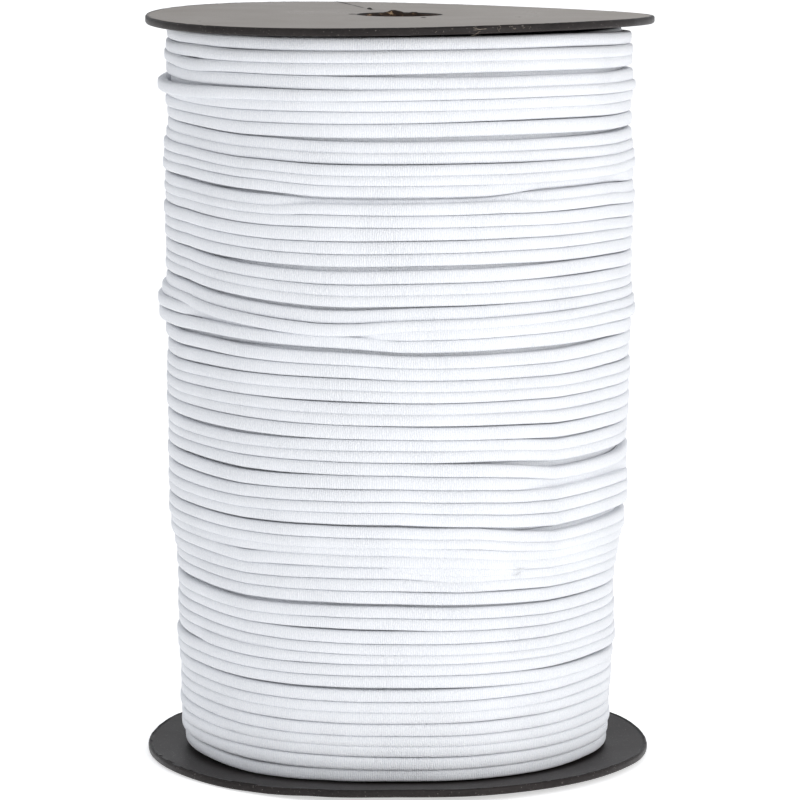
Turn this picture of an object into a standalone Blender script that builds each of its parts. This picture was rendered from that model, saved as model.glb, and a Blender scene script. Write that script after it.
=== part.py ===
"""Roll of round elastic cord on an upright reel, in metres, +Z up.

Two round board flanges are held apart by a board tube. The cord is wound between them as one
solid body: slightly barrelled, stepped in at about a third of its height, with two places where
a turn rides over its neighbours. The origin is the centre of the lower flange's flat underside.
"""
import math

import bmesh
import bpy

MM = 0.001

# Driving dimensions
FLANGE_RADIUS = 67.5 * MM
BOARD_THICKNESS = 2.0 * MM
RIM_CHAMFER = 0.3 * MM
REEL_HEIGHT = 198.0 * MM          # floor to the middle of the upper flange's upper face
TUBE_OUTER_RADIUS = 11.1 * MM
TUBE_WALL = 1.4 * MM
TUBE_END_RECESS = 0.4 * MM        # how far the tube's ends stop short of the boards' outer faces
CLEARANCE = 0.3 * MM              # between any two pieces that touch

# How far the boards have warped
FLAT_RADIUS = 26.0 * MM           # the lower flange is flat, and on the floor, inside this radius
SADDLE_HEIGHT = 1.4 * MM          # the upper flange's twist, at the rim, from low to high side
TORN_EDGE = 0.45 * MM             # unevenness of the tube's torn upper end

# Segments round each piece
BOARD_SEGMENTS = 72
TUBE_SEGMENTS = 36

# Radii of the rings that a board's faces are built from, between its hole and its rim
BOARD_RINGS = [FLAT_RADIUS, 40.0 * MM, 50.0 * MM, 58.0 * MM, 63.0 * MM]

# Lift of the lower flange's rim: direction in degrees from +X, then height in mm
RIM_LIFT = [
    # direction, lift
    (0, 0.5),
    (28, 1.3),
    (90, 1.0),
    (152, 1.2),
    (180, 0.4),
    (205, 0.4),
    (227, 0.2),
    (240, 0.5),
    (252, 1.2),
    (270, 1.8),
    (292, 1.4),
    (325, 1.2),
]

# Outer shape of the wound cord, from the lower flange up, in mm
WOUND_PROFILE = [
    # height, radius, sideways shift along X
    (2.3, 55.4, -0.5),
    (5.0, 56.5, -0.5),
    (8.0, 57.8, -0.5),
    (16.0, 58.1, -0.5),
    (29.0, 58.8, -0.5),
    (42.0, 58.9, -0.4),
    (51.0, 59.3, -0.4),
    (57.5, 59.7, -0.3),
    (61.5, 61.2, -0.2),
    (73.0, 61.6, 0.0),
    (85.0, 61.6, 0.0),
    (96.0, 62.3, 0.0),
    (107.0, 62.1, 0.0),
    (116.5, 62.0, 0.0),
    (121.0, 62.9, 0.0),
    (125.5, 62.1, 0.0),
    (137.0, 62.4, 0.0),
    (150.0, 62.7, 0.0),
    (162.0, 62.5, 0.0),
    (172.0, 61.7, 0.0),
    (176.0, 61.6, 0.0),
    (180.0, 62.5, 0.0),
    (184.5, 62.0, 0.0),
    (190.0, 62.1, 0.0),
    (195.7, 61.3, 0.0),
]

# Places where turns ride over their neighbours, in degrees from +X and in mm
RIDGES = [
    # direction, height, stands proud by, half width in degrees, half height
    (188, 180.0, 1.2, 38, 3.5),
    (0, 180.0, 0.6, 35, 3.5),
    (184, 121.0, 1.0, 34, 4.0),
    (352, 121.0, 0.8, 34, 4.0),
    (291, 58.0, 0.7, 16, 4.0),
]

# Finish of each piece: base colour (linear), roughness
BOARD_FINISH = ((0.050, 0.043, 0.043), 0.45)
TUBE_FINISH = ((0.190, 0.095, 0.040), 0.90)
CORD_FINISH = ((0.860, 0.870, 0.890), 0.65)


def clear_scene():
    """Remove the objects that a new scene starts with."""
    for old in list(bpy.data.objects):
        bpy.data.objects.remove(old, do_unlink=True)


def make_material(name, finish):
    """A plain Principled material of the given colour and roughness."""
    colour, roughness = finish
    material = bpy.data.materials.new(name)
    material.use_nodes = True
    shader = material.node_tree.nodes["Principled BSDF"]
    shader.inputs["Base Color"].default_value = (*colour, 1.0)
    shader.inputs["Roughness"].default_value = roughness
    shader.inputs["Metallic"].default_value = 0.0
    return material


def ease(fraction):
    """Smooth step from 0 to 1."""
    return fraction * fraction * (3.0 - 2.0 * fraction)


def rim_lift(direction):
    """Height of the lower flange's rim above flat, in metres, in a direction in radians."""
    degrees = math.degrees(direction) % 360.0
    rows = RIM_LIFT + [(RIM_LIFT[0][0] + 360.0, RIM_LIFT[0][1])]
    for (start, low), (end, high) in zip(rows, rows[1:]):
        if degrees <= end:
            return (low + (high - low) * ease((degrees - start) / (end - start))) * MM
    return rows[-1][1] * MM


def base_rise(radius, direction):
    """How far the lower flange rises above its flat middle at a point."""
    outside = max(0.0, radius - FLAT_RADIUS) / (FLANGE_RADIUS - FLAT_RADIUS)
    return rim_lift(direction) * outside ** 2


def top_rise(radius, direction):
    """How far the upper flange stands above its middle at a point: a gentle saddle."""
    outside = radius / FLANGE_RADIUS
    return -0.5 * SADDLE_HEIGHT * outside ** 2 * math.sin(2.0 * direction)


def wound_profile(height):
    """Radius and sideways shift of the wound cord at a height, all in metres."""
    rows = WOUND_PROFILE
    level = min(max(height / MM, rows[0][0]), rows[-1][0])
    for lower, upper in zip(rows, rows[1:]):
        if level <= upper[0]:
            share = ease((level - lower[0]) / (upper[0] - lower[0]))
            radius = lower[1] + (upper[1] - lower[1]) * share
            shift = lower[2] + (upper[2] - lower[2]) * share
            return radius * MM, shift * MM
    return rows[-1][1] * MM, rows[-1][2] * MM


def ridge_height(height, direction):
    """Extra radius where turns of the cord ride over their neighbours."""
    extra = 0.0
    for ridge_direction, level, proud, half_width, half_height in RIDGES:
        turn = (math.degrees(direction) - ridge_direction + 180.0) % 360.0 - 180.0
        rise = height / MM - level
        extra += proud * math.exp(-(turn / half_width) ** 2 - (rise / half_height) ** 2)
    return extra * MM


def polar(radius, direction, height):
    """A point from its distance to the axis, its direction and its height."""
    return (radius * math.cos(direction), radius * math.sin(direction), height)


def ring_body(name, section, segments, material):
    """Sweep a closed section once round Z.

    section(direction) returns the section's points in order, up the outer side and down the
    inner side, with the same number of points in every direction.
    """
    mesh = bmesh.new()
    loops = []
    for index in range(segments):
        direction = 2.0 * math.pi * index / segments
        loops.append([mesh.verts.new(point) for point in section(direction)])
    for index, loop in enumerate(loops):
        following = loops[(index + 1) % segments]
        for step in range(len(loop)):
            above = (step + 1) % len(loop)
            mesh.faces.new((loop[step], following[step], following[above], loop[above]))
    bmesh.ops.triangulate(mesh, faces=mesh.faces[:])
    bmesh.ops.recalc_face_normals(mesh, faces=mesh.faces[:])
    data = bpy.data.meshes.new(name)
    mesh.to_mesh(data)
    mesh.free()
    data.materials.append(material)
    data.shade_smooth()
    data.set_sharp_from_angle(angle=math.radians(35.0))
    body = bpy.data.objects.new(name, data)
    bpy.context.scene.collection.objects.link(body)
    return body


def board_section(direction, middle, rise):
    """Section of a flange whose underside at the middle is at height middle."""
    hole = TUBE_OUTER_RADIUS + CLEARANCE
    face_radii = [hole, *BOARD_RINGS, FLANGE_RADIUS - RIM_CHAMFER]
    rim = middle + rise(FLANGE_RADIUS, direction)
    underside = [polar(r, direction, middle + rise(r, direction)) for r in face_radii]
    side = [
        polar(FLANGE_RADIUS, direction, rim + RIM_CHAMFER),
        polar(FLANGE_RADIUS, direction, rim + BOARD_THICKNESS - RIM_CHAMFER),
    ]
    upper = middle + BOARD_THICKNESS
    upper_face = [polar(r, direction, upper + rise(r, direction)) for r in reversed(face_radii)]
    return underside + side + upper_face


def make_lower_flange():
    """The board that stands on the floor, curled up at its rim."""
    ring_body(
        "flange_base",
        lambda direction: board_section(direction, 0.0, base_rise),
        BOARD_SEGMENTS,
        make_material("base_board", BOARD_FINISH),
    )


def make_upper_flange():
    """The board on top, twisted into a gentle saddle."""
    ring_body(
        "flange_top",
        lambda direction: board_section(direction, REEL_HEIGHT - BOARD_THICKNESS, top_rise),
        BOARD_SEGMENTS,
        make_material("top_board", BOARD_FINISH),
    )


def torn_end(direction):
    """Unevenness of the tube's upper end in a direction."""
    coarse = math.sin(3.0 * direction + 0.6)
    fine = math.sin(7.0 * direction + 2.1)
    return TORN_EDGE * (0.6 * coarse + 0.4 * fine)


def tube_section(direction):
    """Section of the board tube, from its lower end to its torn upper end."""
    inner_radius = TUBE_OUTER_RADIUS - TUBE_WALL
    bottom = TUBE_END_RECESS
    top = REEL_HEIGHT - TUBE_END_RECESS + torn_end(direction)
    return [
        polar(inner_radius, direction, bottom),
        polar(TUBE_OUTER_RADIUS, direction, bottom),
        polar(TUBE_OUTER_RADIUS, direction, top),
        polar(inner_radius, direction, top - 0.5 * TUBE_WALL),
    ]


def make_core_tube():
    """The tube that joins the flanges."""
    material = make_material("tube_board", TUBE_FINISH)
    ring_body("core_tube", tube_section, TUBE_SEGMENTS, material)


def wound_section(direction):
    """Section of the wound cord: lower end face, outer side, upper end face and bore."""
    bore = TUBE_OUTER_RADIUS + CLEARANCE
    first_level = BOARD_THICKNESS + CLEARANCE
    last_level = REEL_HEIGHT - BOARD_THICKNESS - CLEARANCE
    inner_radii = [bore, *BOARD_RINGS[:3]]
    bottom_face = [polar(r, direction, first_level + base_rise(r, direction)) for r in inner_radii]
    top_face = [polar(r, direction, last_level + top_rise(r, direction)) for r in inner_radii]
    outer_side = []
    for level_mm, radius_mm, _shift in WOUND_PROFILE:
        share = (level_mm * MM - first_level) / (last_level - first_level)
        radius, shift = wound_profile(level_mm * MM)
        radius += ridge_height(level_mm * MM, direction)
        low = first_level + base_rise(radius, direction)
        high = last_level + top_rise(radius, direction)
        x, y, z = polar(radius, direction, low + (high - low) * share)
        outer_side.append((x + shift, y, z))
    return bottom_face + outer_side + top_face[::-1]


def make_wound_elastic():
    """The cord, wound from flange to flange."""
    material = make_material("elastic_cord", CORD_FINISH)
    ring_body("wound_elastic", wound_section, BOARD_SEGMENTS, material)


def main():
    clear_scene()
    make_lower_flange()
    make_core_tube()
    make_wound_elastic()
    make_upper_flange()


main()
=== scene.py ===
"""Looks of the roll of elastic: every visible turn of the cord, the two boards and the torn tube.

The turns are one long strand that settles against its neighbours between the boards. Tables
say how the turns rise and fall round the reel and where they cross, part or lie proud.

Directions are degrees round the reel, seen from above: 0 is the front (-Y), 90 is the right (+X)
and -90 is the left. Lengths are metres, and the tables give theirs in millimetres.
"""
import math

import bpy
import numpy as np
from mathutils import Matrix, Vector
from mathutils.bvhtree import BVHTree


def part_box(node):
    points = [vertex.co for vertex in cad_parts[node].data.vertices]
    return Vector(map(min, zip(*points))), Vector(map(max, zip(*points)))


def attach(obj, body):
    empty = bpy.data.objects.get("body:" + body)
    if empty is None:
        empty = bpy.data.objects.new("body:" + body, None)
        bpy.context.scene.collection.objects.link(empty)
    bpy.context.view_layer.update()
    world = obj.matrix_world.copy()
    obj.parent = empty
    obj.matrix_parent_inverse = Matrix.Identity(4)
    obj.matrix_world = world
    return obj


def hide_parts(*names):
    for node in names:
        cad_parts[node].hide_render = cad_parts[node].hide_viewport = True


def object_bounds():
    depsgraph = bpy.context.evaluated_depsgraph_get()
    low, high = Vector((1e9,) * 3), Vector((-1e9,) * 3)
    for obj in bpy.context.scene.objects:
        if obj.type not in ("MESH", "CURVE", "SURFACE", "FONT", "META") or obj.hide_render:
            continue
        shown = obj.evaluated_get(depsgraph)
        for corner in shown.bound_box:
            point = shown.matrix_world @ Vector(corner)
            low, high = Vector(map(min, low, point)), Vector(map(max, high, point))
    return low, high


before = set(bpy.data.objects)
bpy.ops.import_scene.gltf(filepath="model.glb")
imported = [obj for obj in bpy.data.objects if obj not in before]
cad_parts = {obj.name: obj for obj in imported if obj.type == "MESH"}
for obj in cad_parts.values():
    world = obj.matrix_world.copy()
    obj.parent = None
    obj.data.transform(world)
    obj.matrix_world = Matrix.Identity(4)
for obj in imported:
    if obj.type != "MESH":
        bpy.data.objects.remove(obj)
cad_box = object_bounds()

MM = 0.001
SEED = 11

# The reel, from the CAD frame
REEL_LOW, REEL_HIGH = (Vector(corner) for corner in cad_box)
FLANGE_RADIUS = (REEL_HIGH.x - REEL_LOW.x) / 2
TUBE_LOW, TUBE_HIGH = (Vector(corner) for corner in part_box("core_tube"))
TUBE_RADIUS = (TUBE_HIGH.x - TUBE_LOW.x) / 2
WOUND_LOW, WOUND_HIGH = (Vector(corner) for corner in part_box("wound_elastic"))

# The cord and its turns
CORD = 3.12 * MM                  # diameter of the cord as wound
THICKNESS = 0.96 * CORD           # from the axis outward, pressed a little
TURNS = 62                        # turns that show, from flange to flange
COLUMNS = 180                     # sections in each turn
COLUMN_DEGREES = np.arange(COLUMNS) * 360.0 / COLUMNS - 180.0
SQUARENESS = 3.5                  # how far neighbours press the cord's round section square
REACH_LEAST, REACH_MOST = 0.38, 0.58   # half the height of a pressed turn, in cord diameters
PRESS = 0.71 * CORD               # nearest that two turns side by side come to each other
TOP_GAP, BASE_GAP = 0.55 * MM, 0.3 * MM   # between the boards and the outermost turns
SURFACE_DEPTH = 0.12 * MM         # how far the turns lie inside the CAD winding's surface
UNDER_DEPTH = 1.38 * CORD         # from that surface to the middle of the layer below
UV_RADIUS = 61.0 * MM             # where the length along the cord is measured
RIB_PITCH = 0.58 * MM             # the cover's cross ribs
SETTLE_STEPS = 500                # rounds in which the turns press on each other
SETTLE_PULL = 0.03                # how far each round pulls a turn to where it wants to lie

# Unevenness along the strand, as layers of smooth noise
OFFSET_WAVES = [
    # length in sections, spread mm outward
    (20, 0.16),
    (90, 0.20),
]
WANDER_WAVES = [
    # length in sections, spread mm up and down
    (90, 0.46),
    (20, 0.42),
    (6, 0.08),
]


# ---------------------------------------------------------------- surfaces of the CAD frame

FACE_MARGIN = 0.6 * MM            # how far inside a board's edges its faces are measured


def tree_of(node):
    """A search tree of one CAD node's faces."""
    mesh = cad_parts[node].data
    corners = [vertex.co.copy() for vertex in mesh.vertices]
    return BVHTree.FromPolygons(corners, [tuple(face.vertices) for face in mesh.polygons])


def point_at(radius, direction, height):
    """A point from its distance to the axis, its direction in radians and its height."""
    return Vector((radius * math.sin(direction), -radius * math.cos(direction), height))


def outer_radius(tree, direction, height):
    """Distance from the axis to the outer side of a node at a height."""
    start = point_at(0.1, direction, height)
    inward = Vector((-start.x, -start.y, 0.0)).normalized()
    hit = tree.ray_cast(start, inward)[0]
    return math.hypot(hit.x, hit.y) if hit else 0.0


def face_height(tree, radius, direction, above):
    """Height of a board's upper face (above) or underside at a point."""
    within = min(max(radius, TUBE_RADIUS + FACE_MARGIN), FLANGE_RADIUS - FACE_MARGIN)
    start = point_at(within, direction, 0.3 if above else -0.1)
    hit = tree.ray_cast(start, Vector((0, 0, -1.0 if above else 1.0)))[0]
    return hit.z


# ---------------------------------------------------------------- materials

def new_material(name):
    """A node material, its node tree and its Principled shader."""
    material = bpy.data.materials.new(name)
    material.use_nodes = True
    return material, material.node_tree, material.node_tree.nodes["Principled BSDF"]


def add_node(tree, kind, **values):
    """Add a shader node and set its properties."""
    node = tree.nodes.new(kind)
    for key, value in values.items():
        setattr(node, key, value)
    return node


def noise(tree, source, scale, detail=3.0, roughness=0.55):
    """A noise texture on the given coordinates."""
    node = add_node(tree, "ShaderNodeTexNoise")
    node.inputs["Scale"].default_value = scale
    node.inputs["Detail"].default_value = detail
    node.inputs["Roughness"].default_value = roughness
    tree.links.new(source, node.inputs["Vector"])
    return node.outputs["Fac"]


def math_node(tree, operation, first, second=None, third=None, clamp=False):
    """One arithmetic step; each operand is a socket or a number."""
    node = add_node(tree, "ShaderNodeMath", operation=operation, use_clamp=clamp)
    for index, operand in enumerate((first, second, third)):
        if operand is None:
            continue
        if isinstance(operand, (int, float)):
            node.inputs[index].default_value = operand
        else:
            tree.links.new(operand, node.inputs[index])
    return node.outputs[0]


def ramp(tree, source, stops):
    """A colour ramp; stops are (position, colour)."""
    node = add_node(tree, "ShaderNodeValToRGB")
    elements = node.color_ramp.elements
    while len(elements) < len(stops):
        elements.new(0.5)
    for element, (position, colour) in zip(elements, stops):
        element.position = position
        element.color = (*colour, 1.0)
    tree.links.new(source, node.inputs["Fac"])
    return node.outputs["Color"]


def bump(tree, shader, height, distance):
    """Bump the shader by a height in the range 0 to 1."""
    node = add_node(tree, "ShaderNodeBump")
    node.inputs["Distance"].default_value = distance
    tree.links.new(height, node.inputs["Height"])
    tree.links.new(node.outputs["Normal"], shader.inputs["Normal"])


def cord_material():
    """White covered elastic: cross ribs with painted shade between them, fine lengthwise threads and a soft
    sheen.
    """
    material, tree, shader = new_material("elastic_cover")
    cord_uv = add_node(tree, "ShaderNodeUVMap", uv_map="CordUV").outputs["UV"]
    place = add_node(tree, "ShaderNodeTexCoord").outputs["Object"]
    split = add_node(tree, "ShaderNodeSeparateXYZ")
    tree.links.new(cord_uv, split.inputs["Vector"])
    along, around = split.outputs["X"], split.outputs["Y"]
    wobble = noise(tree, place, 900.0, 2.0)
    phase = math_node(tree, "MULTIPLY_ADD", wobble, 1.6, along)
    ribs = math_node(tree, "SINE", math_node(tree, "MULTIPLY", phase, 2.0 * math.pi))
    threads = math_node(tree, "SINE", math_node(tree, "MULTIPLY", around, 2.0 * math.pi * 26.0))
    patches = noise(tree, place, 60.0, 2.0)
    speckle = noise(tree, place, 2600.0, 2.0, 0.7)
    rib_part = math_node(tree, "MULTIPLY", ribs, patches)
    height = math_node(tree, "MULTIPLY_ADD", threads, 0.06, rib_part)
    height = math_node(tree, "MULTIPLY_ADD", speckle, 0.9, height)
    bump(tree, shader, height, 0.08 * MM)
    # The rib wave darkens the colour in the valleys between the cross ribs: painted shade. The speckle is the
    # cover's own uneven tone.
    shade = math_node(tree, "MULTIPLY_ADD", ribs, 0.16, speckle)
    colour = ramp(tree, shade, ((0.25, (0.76, 0.78, 0.82)), (0.75, (0.89, 0.895, 0.915))))
    tree.links.new(colour, shader.inputs["Base Color"])
    shader.inputs["Roughness"].default_value = 0.55
    shader.inputs["Specular IOR Level"].default_value = 0.35
    shader.inputs["Sheen Weight"].default_value = 0.12
    shader.inputs["Sheen Roughness"].default_value = 0.4
    return material


def board_material(name, dark, light, roughness, dust):
    """Dark grey-brown hard board: mottled, flecked with pale fibre and a little dusty."""
    material, tree, shader = new_material(name)
    place = add_node(tree, "ShaderNodeTexCoord").outputs["Object"]
    broad = noise(tree, place, 45.0, 4.0)
    fine = noise(tree, place, 900.0, 4.0, 0.65)
    flecks = noise(tree, place, 2400.0, 1.0)
    mottle = math_node(tree, "MULTIPLY_ADD", fine, 0.5, math_node(tree, "MULTIPLY", broad, 0.5))
    base = ramp(tree, mottle, ((0.35, dark), (0.65, light)))
    fleck_mask = ramp(tree, flecks, ((0.70, (0, 0, 0)), (0.76, (1, 1, 1))))
    mix = add_node(tree, "ShaderNodeMix", data_type="RGBA")
    tree.links.new(fleck_mask, mix.inputs["Factor"])
    tree.links.new(base, mix.inputs["A"])
    mix.inputs["B"].default_value = (0.20, 0.18, 0.165, 1.0)
    tree.links.new(mix.outputs["Result"], shader.inputs["Base Color"])
    rough = math_node(tree, "MULTIPLY_ADD", broad, 0.16, roughness)
    tree.links.new(rough, shader.inputs["Roughness"])
    bump(tree, shader, fine, 0.03 * MM)
    shader.inputs["Specular IOR Level"].default_value = 0.12
    shader.inputs["Sheen Weight"].default_value = dust
    shader.inputs["Sheen Roughness"].default_value = 0.35
    shader.inputs["Sheen Tint"].default_value = (1.0, 0.88, 0.76, 1.0)
    return material


def kraft_painted_shade_material():
    """Kraft board: pale fibrous patches, as torn kraft shows, spread at random over a brown mostly painted
    near-black as shade inside the tube.
    """
    material, tree, shader = new_material("kraft_board_painted_shade")
    place = add_node(tree, "ShaderNodeTexCoord").outputs["Object"]
    fibre = noise(tree, place, 1500.0, 4.0, 0.7)
    broad = noise(tree, place, 220.0, 3.0)
    blend_value = math_node(tree, "MULTIPLY_ADD", fibre, 0.5, math_node(tree, "MULTIPLY", broad, 0.5))
    # Most noise values fall on the two near-black stops: painted shade inside the tube. The pale top stop
    # gives the patches of pale fibre.
    stops = ((0.40, (0.006, 0.003, 0.001)), (0.57, (0.035, 0.015, 0.006)), (0.64, (0.50, 0.34, 0.20)))
    tree.links.new(ramp(tree, blend_value, stops), shader.inputs["Base Color"])
    shader.inputs["Roughness"].default_value = 0.9
    bump(tree, shader, fibre, 0.08 * MM)
    return material


def fibre_material(name, colour):
    """Loose fibre of one colour, mottled a little."""
    material, tree, shader = new_material(name)
    place = add_node(tree, "ShaderNodeTexCoord").outputs["Object"]
    shade = ramp(tree, noise(tree, place, 3000.0), ((0.3, tuple(0.7 * c for c in colour)), (0.7, colour)))
    tree.links.new(shade, shader.inputs["Base Color"])
    shader.inputs["Roughness"].default_value = 0.8
    return material


# ---------------------------------------------------------------- mesh helpers

def finish_piece(piece, slot, *nodes):
    """Ride a piece on the reel and let it stand for CAD nodes; the slot is not used."""
    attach(piece, "root")
    if nodes:
        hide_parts(*nodes)


def mesh_object(name, verts, faces, material):
    """A smooth mesh object from arrays of points and faces."""
    mesh = bpy.data.meshes.new(name)
    mesh.from_pydata([tuple(v) for v in verts], [], [tuple(int(i) for i in f) for f in faces])
    mesh.validate()
    mesh.shade_smooth()
    mesh.materials.append(material)
    piece = bpy.data.objects.new(name, mesh)
    bpy.context.scene.collection.objects.link(piece)
    return piece


# ---------------------------------------------------------------- the wound cord

# How far a turn's line rises above a level line, in mm, in four directions
LINE_RISE = [
    # height, left (-62), half left (-42), half right (42), right (62)
    (192, -0.3, -0.2, -0.1, -0.2),
    (175, -0.3, -0.3, -0.2, -0.4),
    (160, 1.4, 0.3, 0.5, 0.8),
    (144, 2.1, 1.1, 0.3, 0.7),
    (129, 3.3, 1.9, 0.5, 0.7),
    (122, 3.4, 2.1, 1.0, 1.6),
    (114, 1.4, 0.7, 0.5, 1.3),
    (106, 0.3, 0.1, -0.1, 0.6),
    (96, 0.7, 0.5, -0.5, 0.0),
    (83, 0.4, -0.2, -2.2, -1.6),
    (67, 0.4, -0.1, -3.2, -2.5),
    (52, 0.4, -0.4, -0.9, -0.5),
    (36, 1.2, 0.5, -0.1, 0.5),
    (20, 0.9, 0.4, 0.5, 1.3),
    (10, 0.4, 0.1, 0.5, 1.0),
]

# Stretches of a turn that lie proud of their neighbours (+) or sunk between them (-)
RIDES = [
    # height, from, to, offset mm, ease in and out over degrees
    (187.2, -135, -60, 0.4, 26),
    (183.8, -140, -64, 0.7, 26),
    (179.8, -100, -50, -0.9, 24),
    (175.0, -110, -72, 0.4, 20),
    (154.5, -27, 30, -1.6, 14),
    (156.5, 28, 70, -1.4, 16),
    (126.0, -120, -76, 0.7, 16),
    (123.0, -125, -74, 1.2, 16),
    (119.8, -130, -78, 0.8, 12),
    (118.9, -60, -5, -2.0, 16),
    (80.0, 36, 80, -1.6, 14),
    (34.5, -60, -30, 0.7, 12),
    (12.0, -80, -50, 0.8, 14),
]

# Gaps between two turns, where the layer underneath shows
OPENINGS = [
    # height, direction, half width in degrees, extra spacing mm
    (189.4, -60, 11, 1.7),
    (117.0, -58, 12, 1.6),
    (59.8, -53, 6, 1.1),
    (60.2, -41, 6, 1.4),
    (58.9, 14, 14, 2.2),
    (65.0, 20, 14, 0.8),
    (91.5, -2, 18, 0.6),
    (79.0, 68, 12, 0.8),
]

# Short stretches of cord that come out between two turns and go back in
STRAYS = [
    # from, height there, to, height there, height of the bow mm
    (-4, 59.9, 34, 57.7, -0.1),
]


def smooth_random(rng, count, reach):
    """Random values along a line, smoothed over reach samples, with unit spread."""
    kernel = np.exp(-0.5 * (np.arange(-3 * reach, 3 * reach + 1) / reach) ** 2)
    kernel /= math.sqrt((kernel ** 2).sum())
    return np.convolve(rng.standard_normal(count + len(kernel) - 1), kernel, mode="valid")


def line_rise(degrees, heights):
    """How far a turn's line rises above a level line in each direction, in metres."""
    rows = np.array(LINE_RISE[::-1])
    left, half_left, half_right, right = (np.interp(heights / MM, rows[:, 0], rows[:, i])
                                          for i in range(1, 5))
    back = 0.3 * (left + right)
    knots = [-180, -115, -62, -42, -20, 0, 20, 42, 62, 115, 180]
    values = [back, 0.9 * left, left, half_left, 0.15 * half_left, 0.0 * left,
              0.3 * half_right, half_right, right, 0.9 * right, back]
    shares = [np.interp(degrees, knots, row) for row in np.eye(len(knots))]
    return sum(share * value for share, value in zip(shares, values)) * MM


def window(degrees, start, end, soft):
    """1 between two directions, easing to 0 over soft degrees at each end."""
    rise = np.clip((degrees - start) / soft + 0.5, 0, 1)
    fall = np.clip((end - degrees) / soft + 0.5, 0, 1)
    return (rise * rise * (3 - 2 * rise)) * (fall * fall * (3 - 2 * fall))


def column_at(direction):
    """The column of sections nearest a direction in degrees."""
    return int(round((direction + 180.0) / 360.0 * COLUMNS)) % COLUMNS


def turn_targets():
    """Heights that the turns would take before they press on each other, top turn first."""
    base_tree, top_tree = tree_of("flange_base"), tree_of("flange_top")
    top_radius = WOUND_HIGH.x - 2.5 * MM
    base_radius = top_radius - 4 * MM
    angles = np.radians(COLUMN_DEGREES)
    low = np.array([face_height(base_tree, base_radius, a, True) for a in angles]) + BASE_GAP
    high = np.array([face_height(top_tree, top_radius, a, False) for a in angles]) - TOP_GAP
    turn = np.arange(TURNS)[:, None] + (COLUMN_DEGREES[None, :] + 180.0) / 360.0
    share = np.clip((turn - 0.5) / (TURNS - 1.0), 0.0, 1.0)
    target = high - CORD / 2 - share * (high - low - CORD)
    for index in range(TURNS):
        target[index] += line_rise(COLUMN_DEGREES, target[index].copy())
    return target, low, high


def nearest_turn(target, height, direction):
    """Index of the turn that passes nearest a height (mm) in a direction (degrees)."""
    return int(np.abs(target[:, column_at(direction)] - height * MM).argmin())


def uneven(rng, waves):
    """Smooth noise along the whole strand as an array [turn, column]."""
    total = sum(smooth_random(rng, TURNS * COLUMNS, length) * spread * MM for length, spread in waves)
    return total.reshape(TURNS, COLUMNS)


def wishes(target):
    """Radial offsets, wished heights and extra gaps below turns, as arrays [turn, column]."""
    rng = np.random.default_rng(SEED)
    offset = uneven(rng, OFFSET_WAVES)
    wander = uneven(rng, WANDER_WAVES)
    for height, start, end, amount, soft in RIDES:
        index = nearest_turn(target, height, (start + end) / 2)
        stretch = window(COLUMN_DEGREES, start, end, soft)
        offset[index] += stretch * amount * MM
        hidden = min(max(-amount * MM / (0.6 * CORD), 0.0), 1.0)
        away = np.arange(TURNS) - index
        closing = 0.5 * hidden * CORD * np.sign(away) * np.exp(-np.abs(away) / 4.0)
        wander += closing[:, None] * stretch[None, :]
    extra = np.zeros_like(target)
    for height, direction, half_width, spacing in OPENINGS:
        above = int((target[:, column_at(direction)] > height * MM).sum()) - 1
        lens = np.exp(-((COLUMN_DEGREES - direction) / half_width) ** 2)
        extra[above] += lens * spacing * MM
    return offset, target + wander, extra


def wind_turns():
    """Settle the turns: arrays [turn, column] of heights and radial offsets."""
    target, low, high = turn_targets()
    offset, goal, extra = wishes(target)
    height = goal.copy()
    for _step in range(SETTLE_STEPS):
        height += SETTLE_PULL * (goal - height)
        drift = (height - target).reshape(-1)
        eased = drift.copy()
        eased[1:-1] = 0.25 * (drift[:-2] + 2.0 * drift[1:-1] + drift[2:])
        height = target + (0.5 * drift + 0.5 * eased).reshape(TURNS, COLUMNS)
        for apart in (1, 2, 3):
            lift = offset[:-apart] - offset[apart:]
            need = np.sqrt(np.clip(PRESS ** 2 - lift ** 2, 0.0, None))
            if apart == 1:
                need = need + extra[:-1]
            short = np.clip(need - (height[:-apart] - height[apart:]), 0.0, None)
            height[:-apart] += 0.5 * short
            height[apart:] -= 0.5 * short
        height = np.minimum(height, high - CORD / 2)
        height = np.maximum(height, low + CORD / 2)
    return height, offset


def radius_map(tree, heights):
    """The winding's outer radius at each [turn, column] height."""
    levels = np.linspace(WOUND_LOW.z + 3.5 * MM, WOUND_HIGH.z - 2.0 * MM, 120)
    table = np.array([[outer_radius(tree, math.radians(d), z) for z in levels]
                      for d in COLUMN_DEGREES])
    result = np.empty_like(heights)
    for column in range(COLUMNS):
        result[:, column] = np.interp(heights[:, column], levels, table[column])
    return result


def section_shape():
    """Points of the cord's section: outward and upward parts, closer together outside."""
    outside = np.radians([-100, -80, -62, -44, -22, 0, 22, 44, 62, 80, 100])
    inside = np.radians([140, 180, 220])
    angles = np.concatenate([outside, inside])
    out = np.sign(np.cos(angles)) * np.abs(np.cos(angles)) ** (2 / SQUARENESS)
    up = np.sign(np.sin(angles)) * np.abs(np.sin(angles)) ** (2 / SQUARENESS)
    return out, up


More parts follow.
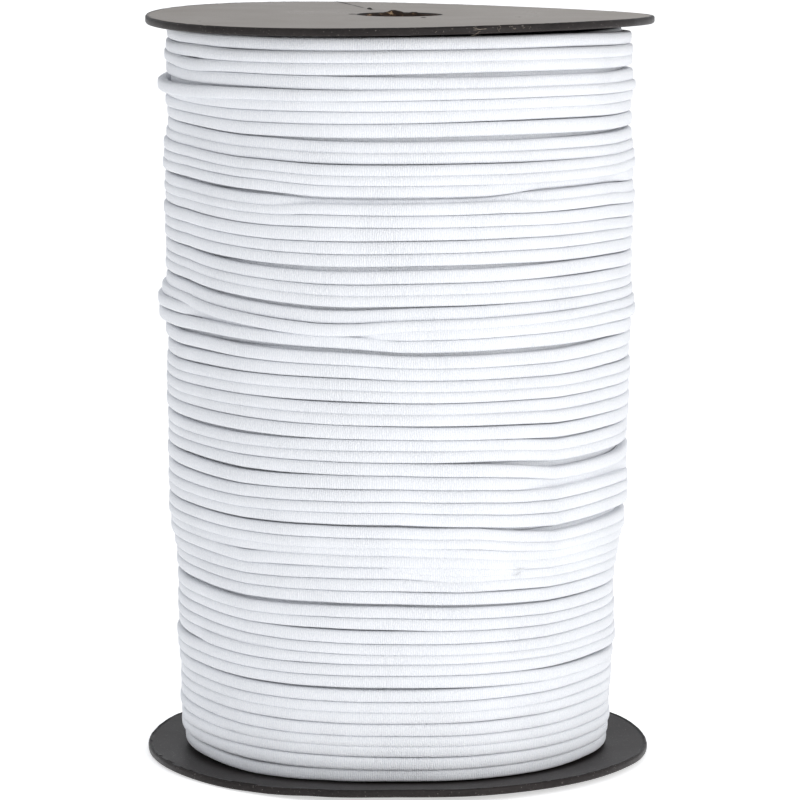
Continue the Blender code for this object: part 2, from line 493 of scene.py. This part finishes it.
def cord_mesh(name, lengths, material):
    """Lengths of cord as tubes in one mesh.

    Each length is a dict of arrays with a value for each section: direction in degrees, radius
    and height of the centre, and reach up and down. Its thickness is one number.
    """
    out, up = section_shape()
    ring = len(out)
    points, faces, along, first = [], [], [], 0
    for part in lengths:
        direction = np.radians(part["direction"])
        count = len(direction)
        radial = part["radius"][:, None] + 0.5 * part["thickness"] * out[None, :]
        reach = np.where(up[None, :] >= 0, part["up"][:, None], part["down"][:, None])
        vertical = part["height"][:, None] + reach * up[None, :]
        points.append(np.stack([radial * np.sin(direction)[:, None],
                                -radial * np.cos(direction)[:, None], vertical], -1).reshape(-1, 3))
        index = first + np.arange(count * ring).reshape(count, ring)
        nxt = np.roll(index, -1, axis=1)
        quads = np.stack([index[:-1], index[1:], nxt[1:], nxt[:-1]], -1).reshape(-1, 4)
        faces.extend(quads.tolist())
        faces.append(index[0].tolist())
        faces.append(index[-1][::-1].tolist())
        along.append(np.repeat(np.arange(count) * (direction[1] - direction[0]) * UV_RADIUS, ring))
        first += count * ring
    piece = mesh_object(name, np.concatenate(points), faces, material)
    layer = piece.data.uv_layers.new(name="CordUV")
    corner = np.empty(len(piece.data.loops), dtype=np.int64)
    piece.data.loops.foreach_get("vertex_index", corner)
    uv = np.stack([np.concatenate(along)[corner] / RIB_PITCH, (corner % ring) / ring], -1)
    layer.data.foreach_set("uv", uv.astype(np.float32).reshape(-1))
    return piece


def reaches(height, offset):
    """How far each section reaches up and down, so that level neighbours just meet."""
    up = np.full_like(height, 0.5 * CORD)
    down = up.copy()
    level = np.clip(1.0 - np.abs(offset[:-1] - offset[1:]) / (0.35 * CORD), 0.0, 1.0)
    half = np.clip(0.5 * (height[:-1] - height[1:]), REACH_LEAST * CORD, REACH_MOST * CORD)
    half = 0.5 * CORD + level * (half - 0.5 * CORD)
    up[1:] = half
    down[:-1] = half
    return up, down


def stray_lengths(tree):
    """The short stretches that bow out between two turns, their ends thin and tucked in."""
    lengths = []
    for start, start_height, end, end_height, bow in STRAYS:
        share = np.linspace(0.0, 1.0, int((end - start) / 2) + 1)
        rise = 1.0 - (2.0 * share - 1.0) ** 2
        middle = (start_height + share * (end_height - start_height) + bow * rise) * MM
        surface = outer_radius(tree, math.radians((start + end) / 2), (start_height + end_height) / 2 * MM)
        reach = 0.5 * CORD * (0.35 + 0.65 * rise)
        radius = surface - 0.5 * CORD - (1.0 - rise) ** 2 * 1.2 * MM - 0.1 * MM
        lengths.append({"direction": start + share * (end - start), "radius": radius,
                        "height": middle, "up": reach, "down": reach, "thickness": THICKNESS})
    return lengths


def make_wound_cord(material):
    """The visible turns, in two pieces, and the short stretches that come out between them."""
    tree = tree_of("wound_elastic")
    height, offset = wind_turns()
    centre = radius_map(tree, height) - 0.5 * CORD + offset - SURFACE_DEPTH
    up, down = reaches(height, offset)
    centre, height, up, down = (values.reshape(-1) for values in (centre, height, up, down))
    section = np.arange(TURNS * COLUMNS)
    to_end = np.minimum(section, section[::-1]) / (COLUMNS / 10)
    centre -= 1.5 * CORD * np.clip(1.0 - to_end, 0.0, 1.0) ** 2
    direction = -180.0 + section * 360.0 / COLUMNS
    cut = (TURNS // 2) * COLUMNS
    halves = [("cord_upper_turns", slice(0, cut + 1), [], ["wound_elastic"]),
              ("cord_lower_turns", slice(cut, None), stray_lengths(tree), [])]
    for name, span, strays, nodes in halves:
        turns = {"direction": direction[span], "radius": centre[span], "height": height[span],
                 "up": up[span], "down": down[span], "thickness": THICKNESS}
        finish_piece(cord_mesh(name, [turns] + strays, material), "elastic_cord", *nodes)


def make_under_layer(material):
    """The layer below: turns of the opposite slope, nearly a cord further in."""
    tree = tree_of("wound_elastic")
    rng = np.random.default_rng(SEED + 1)
    turn = np.arange(TURNS)[:, None] - (COLUMN_DEGREES[None, :] + 180.0) / 360.0
    top, bottom = WOUND_HIGH.z - 2.6 * MM, WOUND_LOW.z + 3.0 * MM
    height = np.clip(top - (turn + 0.4) / TURNS * (top - bottom), bottom, top)
    height += smooth_random(rng, TURNS * COLUMNS, 20).reshape(TURNS, COLUMNS) * 0.15 * MM
    centre = radius_map(tree, height) - UNDER_DEPTH
    wrap = np.append(np.arange(0, COLUMNS, 3), 0)
    half = np.full(len(wrap), 0.5 * CORD)
    rings = [{"direction": np.append(COLUMN_DEGREES[::3], 180.0), "radius": centre[row][wrap],
              "height": height[row][wrap], "up": half, "down": half, "thickness": CORD}
             for row in range(TURNS)]
    finish_piece(cord_mesh("cord_under_layer", rings, material), "elastic_cord")


# ---------------------------------------------------------------- boards and tube

BOARD_STEPS = 288                 # sections round each board
EDGE_ROUND = 0.6 * MM             # rounding of the boards' cut edges
BORE_RADIUS = TUBE_RADIUS + 0.3 * MM
BOARD_RINGS = (0.0, 0.4, 2, 5, 9, 14, 20, 26, 32, 38, 43, 48, 52, 54.5, 55.5)  # mm out from the bore
ROUNDING = [(1.0, 0.0), (0.5, 0.13), (0.13, 0.5), (0.0, 1.0)]   # across and down, of EDGE_ROUND
TUBE_STEPS = 180                  # sections round the tube
TUBE_WALL = 1.4 * MM

# Where the top board's upper edge is chipped
CHIPS = [
    # direction, half width in degrees, depth mm
    (17.5, 1.6, 0.35),
    (23.0, 1.2, 0.22),
    (29.5, 1.0, 0.20),
    (-6.0, 0.8, 0.12),
]


def around(steps):
    """Directions of the sections round a turned piece, in radians and in degrees from -180 to 180."""
    angles = np.arange(steps) * 2.0 * math.pi / steps
    degrees = np.degrees(angles)
    return angles, np.where(degrees > 180.0, degrees - 360.0, degrees)


def turned_mesh(name, loops, angles, outward, material):
    """A closed ring from loops of (radius, height) round its section."""
    points = [np.stack([radius * np.sin(angles), -radius * np.cos(angles), height], -1)
              for radius, height in loops]
    index = np.arange(len(loops) * len(angles)).reshape(len(loops), len(angles))
    following = np.roll(index, -1, axis=0)
    faces = np.stack([index, np.roll(index, -1, axis=1), np.roll(following, -1, axis=1), following], -1)
    faces = faces.reshape(-1, 4)
    return mesh_object(name, np.concatenate(points), faces if outward else faces[:, ::-1], material)


def make_board(node, material, seed, painted_light_face_material=None):
    """A board with soft cut edges and a slightly ragged rim, on the CAD board's own surfaces."""
    rng = np.random.default_rng(seed)
    tree = tree_of(node)
    angles, degrees = around(BOARD_STEPS)
    jitter = smooth_random(rng, BOARD_STEPS, 1) * 0.035 * MM
    jitter += smooth_random(rng, BOARD_STEPS, 5) * 0.06 * MM
    chip = np.zeros(BOARD_STEPS)
    if node == "flange_top":
        for direction, half_width, depth in CHIPS:
            chip += depth * MM * np.exp(-((degrees - direction) / half_width) ** 2)
    rings = [BORE_RADIUS + step * MM for step in BOARD_RINGS]
    inner, outer = FLANGE_RADIUS - 2.6 * MM, FLANGE_RADIUS - FACE_MARGIN
    sides = {}
    for above in (True, False):
        rows = [[face_height(tree, radius, a, above) for a in angles] for radius in rings]
        near = np.array([face_height(tree, inner, a, above) for a in angles])
        rim = np.array([face_height(tree, outer, a, above) for a in angles])
        edge = rim + (rim - near) * 0.3
        sides[above] = (rows, edge)
    rim_radius = FLANGE_RADIUS - 0.08 * MM + jitter
    upper_rows, upper_edge = sides[True]
    lower_rows, lower_edge = sides[False]
    burr = np.clip(rng.standard_normal(BOARD_STEPS), -1, 1) * 0.03 * MM
    loops = [(np.full(BOARD_STEPS, radius), np.array(row)) for radius, row in zip(rings, upper_rows)]
    loops += [(rim_radius - (across * EDGE_ROUND + chip),
               upper_edge - down * EDGE_ROUND - chip * down + burr) for across, down in ROUNDING]
    loops += [(rim_radius - across * EDGE_ROUND, lower_edge + down * EDGE_ROUND)
              for across, down in ROUNDING[::-1]]
    loops += [(np.full(BOARD_STEPS, radius), np.array(row))
              for radius, row in zip(rings[::-1], lower_rows[::-1])]
    piece = turned_mesh(node + "_board", loops, angles, False, material)
    # The upper face takes the second material, a lighter copy of the board colour: painted light.
    if painted_light_face_material:
        piece.data.materials.append(painted_light_face_material)
        upper = np.arange(len(piece.data.polygons)) < (len(rings) - 1) * BOARD_STEPS
        piece.data.polygons.foreach_set("material_index", upper.astype(np.int32))
    finish_piece(piece, "grey_board", node)


# Scraps of torn kraft that stand up round the mouth of the tube
SCRAPS = [
    # direction, half width in degrees, height mm, lean inward mm
    (-172, 11, 0.85, 0.3),
    (155, 9, 0.35, 0.4),
    (-140, 12, 0.25, 0.6),
    (-20, 12, 0.35, 0.8),
    (14, 9, 0.4, 0.9),
    (75, 20, 0.3, 0.3),
]


def make_core_tube(material):
    """The kraft tube, its upper mouth torn where the board's bore was punched."""
    rng = np.random.default_rng(SEED + 3)
    angles, degrees = around(TUBE_STEPS)
    torn = np.abs(smooth_random(rng, TUBE_STEPS, 1)) * 0.10 * MM
    torn += np.abs(smooth_random(rng, TUBE_STEPS, 4)) * 0.08 * MM
    lean = np.zeros(TUBE_STEPS)
    for direction, half_width, height, inward in SCRAPS:
        away = (degrees - direction + 180.0) % 360.0 - 180.0
        part = np.exp(-(away / half_width) ** 2)
        torn += part * height * MM
        lean += part * inward * MM
    outer = np.full(TUBE_STEPS, TUBE_RADIUS)
    inner = outer - TUBE_WALL
    low = np.full(TUBE_STEPS, TUBE_LOW.z)
    top = TUBE_HIGH.z - 0.35 * MM
    sound = np.full(TUBE_STEPS, top - 3 * MM)     # as high as the wall is whole
    loops = [
        (outer, low),
        (outer, sound),
        (outer - 0.1 * MM - 0.2 * lean, top + 0.2 * torn),
        (outer - 0.35 * MM - 0.8 * lean, top + torn),
        (outer - 0.65 * MM - lean, top + 0.9 * torn - 0.1 * MM),
        (inner - 0.5 * lean, top - 0.5 * MM + 0.2 * torn),
        (inner, sound),
        (inner, low),
    ]
    piece = turned_mesh("core_tube_torn", loops, angles, True, material)
    finish_piece(piece, "kraft_tube", "core_tube")


FIBRE_RADIUS = 0.045 * MM
FIBRE_STEPS = 5                   # straight lengths in each fibre

# Loose fibres: pale ones where the top board is nicked, white ones where the cover is snagged
BOARD_FIBRES = [
    # direction, height, spread in degrees, spread in height mm, count, length mm
    (17.0, 197.0, 0.8, 0.7, 8, 2.0),
    (24.0, 197.9, 4.0, 0.15, 9, 0.8),
    (8.0, 197.2, 12.0, 0.5, 5, 0.5),
]
CORD_FIBRES = [
    (31.5, 57.8, 1.2, 0.7, 16, 1.8),
    (-29.0, 90.4, 0.7, 0.3, 5, 0.9),
]


def make_fibres(name, slot, tufts, lift, tree, material):
    """Short curved fibres that stand on a surface of the CAD frame."""
    rng = np.random.default_rng(SEED + 6)
    points, faces = [], []
    for direction, height, spread, rise, count, length in tufts:
        for _fibre in range(count):
            angle = math.radians(direction + spread * rng.standard_normal() * 0.6)
            level = (height + rise * rng.standard_normal() * 0.6) * MM
            start = point_at(outer_radius(tree, angle, level) + lift, angle, level)
            outward = Vector((start.x, start.y, 0.0)).normalized()
            across = Vector((-outward.y, outward.x, 0.0))
            turn = rng.uniform(0.0, 2.0 * math.pi)
            heading = (across * math.cos(turn) + Vector((0, 0, 1)) * math.sin(turn) * 0.7
                       + outward * 0.35).normalized()
            curl = (across * rng.standard_normal() + Vector((0, 0, 1)) * rng.standard_normal()) * 0.35
            first = len(points)
            for step in range(FIBRE_STEPS + 1):
                bend = curl * step * step / (FIBRE_STEPS + 1)
                centre = start + (heading * step + bend) * (length * MM / FIBRE_STEPS)
                for corner in range(3):
                    side = math.radians(120 * corner)
                    shift = outward * math.cos(side) + Vector((0, 0, 1)) * math.sin(side)
                    points.append(centre + shift * FIBRE_RADIUS)
            for step in range(FIBRE_STEPS):
                for corner in range(3):
                    a = first + 3 * step + corner
                    b = first + 3 * step + (corner + 1) % 3
                    faces.append((a, b, b + 3, a + 3))
    finish_piece(mesh_object(name, points, faces, material), slot)


MARK_STEPS = 6                    # straight lengths in each mark

# Dark scratches and specks on the top board's face, with raised dark lips
MARKS = [
    # x, y, to x, to y, half width mm
    (-17.5, 65, -13, 48, 0.16),
    (-13, 48, -9.6, 33, 0.12),
    (-8.6, 29, -7.4, 25, 0.55),
    (5.6, -17, 7.0, -17, 0.16),
    (-13.4, 0.4, -11.2, 0.2, 0.16),
]


def make_marks(material):
    """The dark marks, as low ridges on the top board."""
    tree = tree_of("flange_top")
    points, faces = [], []
    for x, y, to_x, to_y, half_width in MARKS:
        start, end = Vector((x, y, 0)) * MM, Vector((to_x, to_y, 0)) * MM
        across = Vector((0, 0, 1)).cross(end - start).normalized() * half_width * MM
        first = len(points)
        for step in range(MARK_STEPS + 1):
            centre = start.lerp(end, step / MARK_STEPS)
            direction = math.atan2(centre.x, -centre.y)
            centre.z = face_height(tree, centre.length, direction, True)
            swell = math.sin(math.pi * (step + 0.5) / (MARK_STEPS + 1)) ** 0.5
            for side, rise in ((1, -0.02), (0, 0.8), (-1, -0.02)):
                lift = rise * half_width * MM * swell
                points.append(centre + across * side * swell + Vector((0, 0, lift)))
        for step in range(MARK_STEPS):
            for corner in (0, 1):
                a = first + 3 * step + corner
                faces.append((a, a + 1, a + 4, a + 3))
    finish_piece(mesh_object("board_marks", points, faces, material), "grey_board")


# ---------------------------------------------------------------- stage, light and camera

CAMERA_DISTANCE = 1150.0 * MM
CAMERA_HEIGHT = 255.0 * MM
CAMERA_PITCH = math.radians(7.921)
CAMERA_ROLL = math.radians(0.15)
VIEW_ANGLE = math.radians(10.546)
SIDE_SHIFT = 0.002                # of the picture's width
FLOOR_EDGE, FLOOR_DROP = 6.0, 0.05 * MM   # half the floor's width, and how far below the reel it is


def make_camera():
    """The camera: a long lens a little above the upper board."""
    data = bpy.data.cameras.new("camera")
    data.sensor_width = 36.0
    data.angle = VIEW_ANGLE
    data.clip_start = 0.05
    data.clip_end = 30.0
    data.shift_x = SIDE_SHIFT
    camera = bpy.data.objects.new("camera", data)
    tilt = Matrix.Rotation(math.pi / 2 - CAMERA_PITCH, 4, "X")
    roll = Matrix.Rotation(CAMERA_ROLL, 4, "Z")
    camera.matrix_world = Matrix.Translation((0, -CAMERA_DISTANCE, CAMERA_HEIGHT)) @ tilt @ roll
    bpy.context.scene.collection.objects.link(camera)
    bpy.context.scene.camera = camera


def make_light(name, direction, elevation, distance, size, power, colour):
    """A soft panel light that faces the reel's middle."""
    data = bpy.data.lights.new(name, "AREA")
    data.shape = "RECTANGLE"
    data.size, data.size_y = size
    data.energy = power
    data.color = colour
    light = bpy.data.objects.new(name, data)
    middle = Vector((0, 0, (REEL_LOW.z + REEL_HIGH.z) / 2))
    flat = distance * math.cos(math.radians(elevation))
    rise = distance * math.sin(math.radians(elevation))
    light.location = middle + point_at(flat, math.radians(direction), rise)
    light.rotation_euler = (middle - light.location).to_track_quat("-Z", "Y").to_euler()
    bpy.context.scene.collection.objects.link(light)


def make_world():
    """A white studio that lights softly and is white behind the reel."""
    world = bpy.data.worlds.new("studio")
    world.use_nodes = True
    tree = world.node_tree
    background = tree.nodes["Background"]
    background.inputs["Color"].default_value = (0.95, 0.97, 1.0, 1.0)
    background.inputs["Strength"].default_value = 0.66
    seen = tree.nodes.new("ShaderNodeBackground")
    seen.inputs["Color"].default_value = (1.0, 1.0, 1.0, 1.0)
    seen.inputs["Strength"].default_value = 1.05
    mix = tree.nodes.new("ShaderNodeMixShader")
    ray = tree.nodes.new("ShaderNodeLightPath")
    tree.links.new(ray.outputs["Is Camera Ray"], mix.inputs["Fac"])
    tree.links.new(background.outputs["Background"], mix.inputs[1])
    tree.links.new(seen.outputs["Background"], mix.inputs[2])
    tree.links.new(mix.outputs["Shader"], tree.nodes["World Output"].inputs["Surface"])
    bpy.context.scene.world = world


def make_floor():
    """A plain white floor."""
    mesh = bpy.data.meshes.new("floor")
    corners = [(x * FLOOR_EDGE, y * FLOOR_EDGE, -FLOOR_DROP) for x, y in ((-1, -1), (1, -1), (1, 1), (-1, 1))]
    mesh.from_pydata(corners, [], [(0, 1, 2, 3)])
    material, _tree, shader = new_material("floor_white")
    shader.inputs["Base Color"].default_value = (0.95, 0.95, 0.95, 1.0)
    shader.inputs["Roughness"].default_value = 0.8
    shader.inputs["Emission Color"].default_value = (1.0, 1.0, 1.0, 1.0)
    shader.inputs["Emission Strength"].default_value = 0.55
    mesh.materials.append(material)
    floor = bpy.data.objects.new("floor", mesh)
    bpy.context.scene.collection.objects.link(floor)


make_camera()
make_world()
make_floor()
make_light("key", 38, 16, 1.6, (1.1, 1.0), 8.4, (1.0, 0.99, 0.975))
bpy.context.scene.view_settings.view_transform = "Standard"

elastic = cord_material()
# The top board's upper face is a lighter copy of the board colour: painted light for the bright grazing
# reflection on that face. Its lower roughness and its sheen are real shading.
painted_light_face = board_material("reel_board_face_painted_light", (0.034, 0.028, 0.026), (0.062, 0.053, 0.047), 0.22, 0.28)
board = board_material("reel_board", (0.017, 0.0145, 0.014), (0.031, 0.026, 0.025), 0.32, 0.0)
kraft = kraft_painted_shade_material()
make_wound_cord(elastic)
make_under_layer(elastic)
make_board("flange_top", board, SEED + 4, painted_light_face)
make_board("flange_base", board, SEED + 5)
make_core_tube(kraft)
make_fibres("board_fibres", "grey_board", BOARD_FIBRES, 0.03 * MM, tree_of("flange_top"),
            fibre_material("torn_board_fibre", (0.45, 0.38, 0.31)))
make_marks(fibre_material("scratch_lip", (0.012, 0.009, 0.008)))
make_fibres("cord_fuzz", "elastic_cord", CORD_FIBRES, 0.1 * MM, tree_of("wound_elastic"),
            fibre_material("snagged_yarn", (0.93, 0.93, 0.94)))
